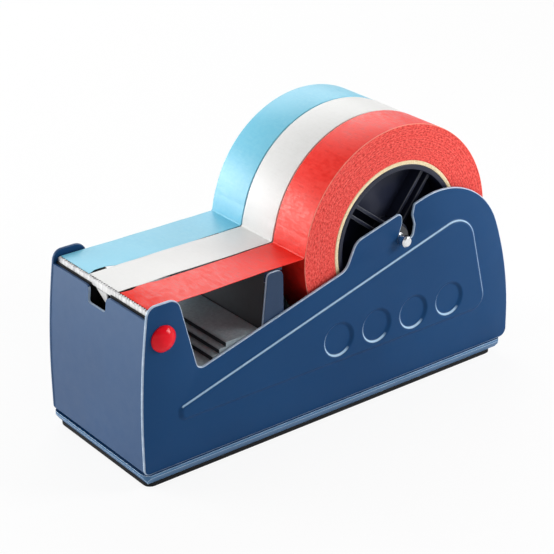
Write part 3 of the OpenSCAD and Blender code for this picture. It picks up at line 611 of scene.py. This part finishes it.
# A paler red for the red roll's rounded rim, as a painted highlight
RED_RIM_HIGHLIGHT = crepe("red_crepe_rim_highlight", (0.94, 0.25, 0.19), (0.95, 0.36, 0.29), (0.90, 0.14, 0.10),
                 shine=0.46, tint=RED_TINT)
WHITE_TAPE = crepe("white_crepe", (0.815, 0.815, 0.80), (0.845, 0.845, 0.835), (0.755, 0.755, 0.735), shine=0.42)
BLUE_TAPE = crepe("pale_blue_crepe", (0.20, 0.63, 0.83), (0.28, 0.68, 0.86), (0.15, 0.57, 0.80))
RED_SIDE = layers("red_layers", (0.89, 0.080, 0.066), (0.94, 0.19, 0.155), (0.46, 0.013, 0.013))
WHITE_SIDE = layers("white_layers", (0.78, 0.78, 0.76), (0.88, 0.88, 0.87), (0.62, 0.61, 0.58))
BLUE_SIDE = layers("pale_blue_layers", (0.30, 0.64, 0.82), (0.42, 0.76, 0.88), (0.15, 0.46, 0.66))
BOARD = layers("core_board_layers", (0.90, 0.74, 0.46), (0.95, 0.84, 0.62), (0.74, 0.55, 0.29), pitch=1500.0)
STEEL = metal("blade_steel", (0.78, 0.78, 0.77), (0.46, 0.46, 0.47), stretch=(1100, 60, 60), rough=0.34)
# The blade below this height is pale and matt as painted light, so its tongue stays bright in the shade behind the
# front panel
painted_light_below(STEEL, AXLE_Z + 1.4)
ROD = metal("turned_steel", (0.80, 0.81, 0.82), (0.60, 0.61, 0.63), stretch=(1800, 120, 120), rough=0.16)
# Lighter moulding for the ribs' rounded edges, as a painted highlight
HUB_RIB_HIGHLIGHT = plastic("hub_moulding_rib_highlight", (0.060, 0.065, 0.080), (0.095, 0.100, 0.120), rough=0.3)
HUB = plastic("hub_moulding", (0.012, 0.015, 0.032), (0.019, 0.023, 0.048), rough=0.34)
BLACK = plastic("carrier_moulding", (0.006, 0.006, 0.007), (0.012, 0.012, 0.014), rough=0.45, shine=0.12)
CAP = plastic("cap_moulding", (0.88, 0.004, 0.014), (0.92, 0.006, 0.020), rough=0.14,
              grain=700, depth=0.00001, coat=0.14, shine=0.1)
NYLON = plastic("nylon_moulding", (0.050, 0.050, 0.054), (0.075, 0.075, 0.080), rough=0.4)
IRON = rough_cast("ballast_casting", (0.200, 0.245, 0.270), (0.310, 0.370, 0.400), rough=0.45, grain=700, depth=0.00010)
# Near-black for the ballast's front-facing risers, as painted shade
RISER_SHADE = rough_cast("ballast_riser_painted_shade", (0.010, 0.011, 0.013), (0.024, 0.026, 0.030), rough=0.6, grain=700, depth=0.00010)
RUBBER = rough_cast("pad_rubber_grain", (0.006, 0.006, 0.007), (0.016, 0.016, 0.018), rough=0.7,
                    grain=1300, depth=0.00008, shine=0.2)


# Side plates: pressed sheet with a rolled rim, a raised panel and dished discs

def plate_surface(outline):
    """The plate inside its rim: points, their heights, triangles, and where each outline point has gone."""
    points, heights, edges = [], [], []

    def add_loop(loop, height):
        first = len(points)
        points.extend(loop)
        heights.extend([height] * len(loop))
        edges.extend((first + i, first + (i + 1) % len(loop)) for i in range(len(loop)))

    bound = offset_loop(outline, RIM_R)
    add_loop(bound, 0.0)
    for d in PRESS_INSETS:
        add_loop(press_outline(d), PRESS_H * ease((d - PRESS_START) / PRESS_RUN))
    for i in range(DISCS):
        u = DISC_U - DISC_PITCH * i
        for r in DISC_RADII:
            ring = [(u + r * math.cos(q), DISC_V + r * math.sin(q)) for q in spread(0, 2 * math.pi, DISC_STEPS)[:-1]]
            add_loop(ring, PRESS_H * ease((r - DISC_FLAT_R) / DISC_RUN))
    flat, _, triangles, origin, _, _ = delaunay_2d_cdt([Vector(p) for p in points], edges, [], 0, 1e-5)
    triangles = [t for t in triangles if inside(sum((flat[i] for i in t), Vector((0, 0))) / 3, bound)]
    index_of = {k: i for i, o in enumerate(origin) for k in o}
    return flat, [heights[o[0]] if o else 0.0 for o in origin], triangles, index_of


def add_tab(verts, faces, sign, u):
    """A tab at the plate's foot that is bent in, as a box that starts inside the sheet."""
    first = len(verts)
    for dx, dv in ((-TAB_REACH, 0.0), (TAB_ROOT, 0.0), (TAB_ROOT, SHEET_T), (-TAB_REACH, SHEET_T)):
        for du in (-TAB_HALF, TAB_HALF):
            verts.append(at(sign * (INNER_X + dx), u + du, FLOOR + dv))
    for i in range(4):
        j = (i + 1) % 4
        faces.append((first + 2 * i, first + 2 * j, first + 2 * j + 1, first + 2 * i + 1))
    faces.append(tuple(first + 2 * i for i in range(4)))
    faces.append(tuple(first + 2 * i + 1 for i in range(3, -1, -1)))


def side_skin(name, sign, node, rim_paint):
    outline = side_outline()
    n = len(outline)
    flat, heights, triangles, index_of = plate_surface(outline)
    verts, faces = [], []
    for x in (FACE_X, INNER_X):
        first = len(verts)
        verts += [at(sign * (x + h), p.x, p.y) for p, h in zip(flat, heights)]
        faces += [tuple(first + i for i in t) for t in triangles]
    loops = [[index_of[i] for i in range(n)]]
    for x, inward, turns in ((FACE_X, -1, RIM_TURNS), (INNER_X, 1, RIM_TURNS[::-1])):
        for q in (math.radians(t) for t in turns):
            loop = offset_loop(outline, RIM_R * (1 - math.sin(q)))
            loops.append(list(range(len(verts), len(verts) + n)))
            verts += [at(sign * (x + inward * RIM_R * (1 - math.cos(q))), *p) for p in loop]
    loops.append([len(flat) + index_of[i] for i in range(n)])
    tags = [0] * len(faces)
    for a, b in zip(loops, loops[1:]):
        faces += [(a[i], a[(i + 1) % n], b[(i + 1) % n], b[i]) for i in range(n)]
    tags += [1] * (len(faces) - len(tags))
    for u in TAB_AT:
        add_tab(verts, faces, sign, u)
    tags += [0] * (len(faces) - len(tags))
    mesh = mesh_of(name, verts, faces, tags=tags)
    new_object(name, mesh, [PLATE, rim_paint], "chassis", [node])


# The right plate's rim takes the lighter edge paint, partly wear and partly a painted highlight
side_skin("right_side_skin", 1, "right_side_plate", EDGE_WEAR_AND_HIGHLIGHT)
side_skin("left_side_skin", -1, "left_side_plate", SATIN)


# Rigid pieces with rounded edges
NOTCH_HALF, NOTCH_Z = 8.5, 79
BRIDGE_TOP_HALF = 36
PAD_OUT = 0.9

# The base plate's sides take the lighter blue as painted light and its edges a painted highlight; its upward faces keep
# the darker body blue as painted shade in the gap under the panels
base = softened("base_plate", 0.9, BASE_LIT, "chassis", BASE_EDGE_HIGHLIGHT)
tag_faces(base, BLUE, lambda p: p.normal.z > 0.9)
panel = softened("front_panel", 0.25, SATIN, "chassis")
# The finger notch's cut edges take the lighter edge paint, partly wear and partly a painted highlight
tag_faces(panel, EDGE_WEAR_AND_HIGHLIGHT, lambda p: abs(p.center.x) < NOTCH_HALF * MM and p.center.z > NOTCH_Z * MM
          and abs(p.normal.y) < 0.5)
# The rear panel's edges take the lighter edge paint, partly wear and partly a painted highlight
softened("rear_panel", 0.25, BLUE, "chassis", EDGE_WEAR_AND_HIGHLIGHT)
# The bridge's edges take the lighter edge paint, partly wear and partly a painted highlight; its web takes a dark grey
# as painted shade
bridge = softened("tape_bridge", 0.3, BRIDGE, "chassis")
tag_faces(bridge, EDGE_WEAR_AND_HIGHLIGHT, lambda p: abs(p.normal.x) < 0.5)
tag_faces(bridge, SHADE, lambda p: abs(p.center.x) < BRIDGE_TOP_HALF * MM)
pad = softened("anti_slip_pad", 0.4, RUBBER, "chassis")
for v in pad.data.vertices:
    v.co.x += math.copysign(PAD_OUT * MM, v.co.x)
    v.co.y += math.copysign(PAD_OUT * MM, v.co.y)
ballast = softened("ballast_block", 0.5, IRON, "chassis")
# The risers that face the front are painted near-black as painted shade
tag_faces(ballast, RISER_SHADE, lambda p: p.normal.y < -0.8)
softened("blade_carrier", 0.4, BLACK, "chassis")
softened("axle", 0.15, ROD, "axle_set")


# Rolls

def hub(name, x, body, replaced):
    """One moulding of boss, web, rim and double ribs, with the ribs' rounded edges in a lighter moulding as a painted
    highlight.
    """
    half = TAPE_W / 2
    side = [(half, HUB_BORE_R + HUB_CHAMFER)]
    side += fillet(half - HUB_SOFT, BOSS_R - HUB_SOFT, HUB_SOFT, 0, 90)
    side += fillet(WEB_HALF + HUB_ROOT, BOSS_R + HUB_ROOT, HUB_ROOT, 270, 180, steps=4)
    side += fillet(WEB_HALF + HUB_ROOT, HUB_IN_R - HUB_ROOT, HUB_ROOT, 180, 90, steps=4)
    side += fillet(half - HUB_SOFT, HUB_IN_R + HUB_SOFT, HUB_SOFT, 270, 360)
    side += fillet(half - HUB_SOFT, HUB_OUT_R - HUB_SOFT, HUB_SOFT, 0, 90)
    profile = [(half - HUB_CHAMFER, HUB_BORE_R)] + side
    profile += [(-px, r) for px, r in reversed(profile)]
    verts, faces = lathe([(x + px, r) for px, r in profile], segments=HUB_STEPS)
    top, low = half - RIB_SETBACK, WEB_HALF - RIB_IN_WEB
    ends = (BOSS_R - RIB_IN_BOSS, HUB_IN_R + RIB_IN_RIM)
    ridge = [(low, -RIB_HALF)]
    ridge += [(top - RIB_SOFT + RIB_SOFT * math.sin(q), RIB_SOFT - RIB_HALF - RIB_SOFT * math.cos(q))
              for q in spread(0, RIB_TURN, RIB_STEPS)]
    ridge += [(px, -w) for px, w in reversed(ridge)]
    m = len(ridge)
    highlit_faces = set()
    for k in range(SPOKES):
        turn = math.radians(SPOKE_TURN + 360 / SPOKES * k)
        du, dv = math.sin(turn), math.cos(turn)
        for offset in (-RIB_OFFSET, RIB_OFFSET):
            for face in (-1, 1):
                first = len(verts)
                for r in ends:
                    for px, w in ridge:
                        verts.append(at(x + face * px, r * du + (w + offset) * dv, r * dv - (w + offset) * du))
                highlit_faces.update(len(faces) + i for i in RIB_HIGHLIT)
                faces += [(first + i, first + (i + 1) % m, first + m + (i + 1) % m, first + m + i) for i in range(m)]
                faces += [tuple(first + i for i in range(m)), tuple(first + m + i for i in range(m - 1, -1, -1))]
    tags = [int(i in highlit_faces) for i in range(len(faces))]
    new_object(name, mesh_of(name, verts, faces, tags=tags), [HUB, HUB_RIB_HIGHLIGHT], body, replaced)


def core(name, x, body, node):
    half, soft = TAPE_W / 2, 0.3
    profile = fillet(half - soft, CORE_R + soft, soft, 270, 360)
    profile += fillet(half - soft, CORE_OUT_R - soft, soft, 0, 90)
    profile += fillet(-half + soft, CORE_OUT_R - soft, soft, 90, 180)
    profile += fillet(-half + soft, CORE_R + soft, soft, 180, 270)
    verts, faces = lathe([(x + px, r) for px, r in profile])
    new_object(name, mesh_of(name, verts, faces), [BOARD], body, [node])


def winding(name, x, body, node, outer, sides, rim_tape, seed):
    """Wound tape whose layers end a little unevenly, with a rounded rim in its own tape material, which on the red roll
    is a paler red as a painted highlight.
    """
    rng = random.Random(seed)
    half, bore = TAPE_W / 2, CORE_OUT_R + 0.05
    soft, chamfer, uneven, ring_steps = 0.35, 0.3, 0.07, 26
    profile = []
    for sign in (1, -1):
        radii = spread(bore + chamfer, ROLL_R - 2 * soft, ring_steps)
        rings = [(sign * (half - uneven * rng.random()), r) for r in radii]
        rim = fillet(sign * (half - soft), ROLL_R - soft, soft, 0 if sign > 0 else 180, 90, steps=5)
        part = [(sign * (half - chamfer), bore)] + rings + rim
        profile += part if sign > 0 else part[::-1]
    verts, faces = lathe([(x + px, r) for px, r in profile])
    mesh = mesh_of(name, verts, faces, smooth_angle=60)
    new_object(name, mesh, [outer, sides, rim_tape], body, [node])
    for p in mesh.polygons:
        reach = math.hypot(p.center.y / MM - AXLE_Y, p.center.z / MM - AXLE_Z)
        if reach > ROLL_R - 0.4 and abs(p.normal.x) > 0.1:
            p.material_index = 2
        else:
            p.material_index = 1 if abs(p.normal.x) > 0.7 else 0


# Tape tails: peeled off the roll in a sharp crease, then straight to the teeth

def edge_shift(name, side, s):
    knots = STRIP_EDGES[name, side]
    for (a, low), (b, high) in zip(knots, knots[1:]):
        if s <= b:
            return low + (high - low) * ease((s - a) / (b - a))
    return knots[-1][1]


def tail_path(front):
    """Points in side view from the teeth to the roll, and how many of them lie before the crease.

    The wrapped end sinks under the roll's surface, so that no step shows there.
    """
    rise, surface = TAPE_RISE + 0.08, ROLL_R + 0.12
    crease, crease_gap, crease_turns = 0.8, 0.4, (0.2, 1.35)
    wrap, wrap_steps, wrap_over, wrap_sink = math.radians(10), 8, 0.12, 0.5
    foot = -math.sqrt(surface ** 2 - (rise + crease) ** 2) - crease - crease_gap
    path = [(u, rise) for u in spread(front, foot, 90)]
    straight = len(path)
    path += [(foot + crease * math.sin(q), rise + crease - crease * math.cos(q)) for q in spread(*crease_turns, 5)]
    start = math.atan2(path[-1][1] + 0.3, path[-1][0] + 0.2)
    for k in range(wrap_steps + 1):
        r = surface + wrap_over - wrap_sink * k / wrap_steps
        q = start - wrap * k / wrap_steps
        path.append((r * math.cos(q), r * math.sin(q)))
    return path, straight


def tail(name, x, node, material, seed):
    rng = random.Random(seed)
    thick, reach, tooth, tooth_pitch = 0.2, 1.0, 0.5, 2
    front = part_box(node)[0].y / MM - AXLE_Y - reach
    phase = [rng.uniform(0, 6.28) for _ in range(3)]
    path, straight = tail_path(front + tooth)
    columns = spread(-1, 1, 50)
    rows, m = len(path), len(columns)
    verts, faces = [], []
    for layer in (0, 1):
        for i, (u, v) in enumerate(path):
            a, b = path[max(0, i - 1)], path[min(rows - 1, i + 1)]
            t = Vector((b[0] - a[0], b[1] - a[1])).normalized()
            s = min(1.0, i / (straight - 1))
            free = math.sin(math.pi * s)
            for c in columns:
                side = 1 if c > 0 else -1
                shift = edge_shift(name, side, s) * abs(c) ** 3 * side
                wave = 0.09 * math.sin(u / 9 + phase[0] + c) + 0.06 * math.sin(u / 4.1 + phase[1] - 2 * c)
                curl = 0.16 * c * c * math.sin(u / 21 + phase[2])
                lift = thick * layer + free * (wave + curl)
                torn = tooth * abs(2 * ((c * TAPE_W / 2 / tooth_pitch) % 1) - 1) if i == 0 else 0.0
                verts.append(at(x + c * TAPE_W / 2 + shift, u - torn - t.y * lift, v + t.x * lift))
    top = rows * m
    for first in (0, top):
        for i in range(rows - 1):
            row, following = first + i * m, first + (i + 1) * m
            faces += [(row + j, row + j + 1, following + j + 1, following + j) for j in range(m - 1)]
    for i in range(rows - 1):
        for a in (i * m, i * m + m - 1):
            faces.append((a, a + m, top + a + m, top + a))
    for row in (0, (rows - 1) * m):
        faces += [(row + j, row + j + 1, top + row + j + 1, top + row + j) for j in range(m - 1)]
    ob = new_object(name, mesh_of(name, verts, faces), [material], "axle_set", [node])


# The last material of each roll is for its rim; on the red roll it is a painted highlight
ROLLS = (("blue", "left", BLUE_TAPE, BLUE_SIDE, BLUE_TAPE),
         ("white", "middle", WHITE_TAPE, WHITE_SIDE, WHITE_TAPE),
         ("red", "right", RED_TAPE, RED_SIDE, RED_RIM_HIGHLIGHT))
WINDING_SEED, TAIL_SEED = 11, 31
for i, (tone, place, outer, sides, rim_tape) in enumerate(ROLLS):
    x = (i - 1) * (TAPE_W + ROLL_GAP)
    winding(tone + "_winding", x, tone + "_roll", tone + "_tape_roll", outer, sides, rim_tape, WINDING_SEED + i)
    core(place + "_board", x, tone + "_roll", place + "_core")
    hub(place + "_moulding", x, tone + "_roll", [place + "_hub", place + "_hub_rim", place + "_hub_ribs"])
    tail(tone + "_strip", x, tone + "_tape_tail", outer, TAIL_SEED + i)


# Red caps: smooth domes, hollow over the nuts

def cap(name, sign, node):
    r, h, rim = 6.65, 4.0, 0.8
    hollow_r, hollow_h, gap, shoulder = 4.3, 2.4, 0.02, 0.7
    dome = h - rim
    big = (r * r + dome * dome) / (2 * dome)
    centre = FACE_X + h - big
    top = math.degrees(math.asin((r - 0.05) / big))
    profile = fillet(centre, 0.0, big, 0.4, top, steps=16)
    profile += [(FACE_X + rim * shoulder, r), (FACE_X + gap, r), (FACE_X + gap, hollow_r)]
    profile += [(FACE_X + hollow_h, hollow_r), (FACE_X + hollow_h, 0.03)]
    verts, faces = lathe([(sign * px, pr) for px, pr in profile], TIE, segments=64)
    new_object(name, mesh_of(name, verts, faces), [CAP], "chassis", [node])


cap("right_dome", 1, "right_cap")
cap("left_dome", -1, "left_cap")

# CAD nodes that show as they are
for node, material in (("cutting_blade", STEEL), ("blade_rivets", STEEL), ("tie_rod", ROD), ("tie_nuts", ROD),
                       ("tab_screws", ROD), ("ballast_bolts", ROD), ("end_spacers", NYLON), ("hub_washers", NYLON)):
    nodes[node].data.materials.clear()
    nodes[node].data.materials.append(material)


# Stage, light and camera, in metres

def rays(tree):
    """Sockets that are 1 for rays from the camera, and for mirrored or transmitted ones."""
    path = tree.nodes.new("ShaderNodeLightPath")
    bent = most(tree, path.outputs["Is Glossy Ray"], path.outputs["Is Transmission Ray"])
    return path.outputs["Is Camera Ray"], bent


def studio_floor(seen, mirrored):
    """A white floor that glows by the given shares where it is seen and where it is mirrored."""
    bpy.ops.mesh.primitive_plane_add(size=12, location=(0, 0, -0.0002))
    floor = bpy.context.object
    floor.name = "studio_floor"
    mat, tree, bsdf = nodes_of("studio_floor_white")
    bsdf.inputs["Base Color"].default_value = (0.95, 0.95, 0.95, 1)
    bsdf.inputs["Roughness"].default_value = 0.9
    glow = tree.nodes.new("ShaderNodeEmission")
    glow.inputs["Strength"].default_value = 1.0
    direct, bent = rays(tree)
    mix = tree.nodes.new("ShaderNodeMixShader")
    tree.links.new(most(tree, times(tree, direct, seen), times(tree, bent, mirrored)), mix.inputs[0])
    tree.links.new(bsdf.outputs[0], mix.inputs[1])
    tree.links.new(glow.outputs[0], mix.inputs[2])
    tree.links.new(mix.outputs[0], tree.nodes["Material Output"].inputs["Surface"])
    floor.data.materials.append(mat)


def world_light(strength, seen, overhead):
    """Even light of a strength. The camera sees it brighter; mirrors show it white at the sides and dark overhead."""
    world = bpy.data.worlds.new("studio")
    scene.world = world
    world.use_nodes = True
    tree = world.node_tree
    back = tree.nodes["Background"]
    back.inputs["Color"].default_value = (1, 1, 1, 1)
    direct, bent = rays(tree)
    upward = axes(tree, tree.nodes.new("ShaderNodeTexCoord").outputs["Generated"])["Z"]
    ceiling = level(tree, upward, 1.0 - strength, overhead, start=0.34, end=0.57)
    more = plus(tree, times(tree, direct, seen - strength), times(tree, bent, ceiling))
    tree.links.new(plus(tree, more, strength), back.inputs["Strength"])


def softbox(name, place, aim, size, power, mirrored=True):
    data = bpy.data.lights.new(name, "AREA")
    data.shape = "RECTANGLE"
    data.size, data.size_y = size
    data.energy = power
    ob = bpy.data.objects.new(name, data)
    scene.collection.objects.link(ob)
    ob.location = place
    ob.rotation_euler = (Vector(aim) - Vector(place)).to_track_quat("-Z", "Y").to_euler()
    ob.visible_glossy = mirrored


def photo_camera(place, degrees, lens):
    """The camera that was fitted to the photo; degrees are azimuth, elevation and roll."""
    az, el, roll = (math.radians(a) for a in degrees)
    back = Vector((math.sin(az) * math.cos(el), -math.cos(az) * math.cos(el), math.sin(el)))
    right = Vector((math.cos(az), math.sin(az), 0))
    up = back.cross(right)
    level_right = right * math.cos(roll) + up * math.sin(roll)
    level_up = up * math.cos(roll) - right * math.sin(roll)
    data = bpy.data.cameras.new("photo_camera")
    data.sensor_width = 36
    data.lens = lens
    data.clip_start = 0.05
    ob = bpy.data.objects.new("photo_camera", data)
    scene.collection.objects.link(ob)
    turn = Matrix((level_right, level_up, back)).transposed().to_4x4()
    turn.translation = Vector(place)
    ob.matrix_world = turn
    scene.camera = ob


studio_floor(seen=0.89, mirrored=0.45)
world_light(strength=0.30, seen=0.96, overhead=-0.12)
softbox("key", (-1.05, -0.95, 0.30), (0, 0, 0.06), size=(0.9, 0.5), power=13)
softbox("overhead", (-0.1, -0.3, 1.4), (0, 0, 0.05), size=(0.9, 0.9), power=2.6)
softbox("back_box", (-1.0, 0.55, 0.85), (0, 0, 0.08), size=(0.9, 0.9), power=6.0)
softbox("fill", (-0.55, -0.75, 1.1), (0, 0, 0.08), size=(0.9, 0.9), power=2.4, mirrored=False)
softbox("side_box", (0.42, 0.46, 0.32), (0.04, 0.05, 0.06), size=(0.25, 0.25), power=2.6)
photo_camera((0.65514, -0.50259, 0.45287), degrees=(52.849, 25.329, -0.786), lens=116.37)
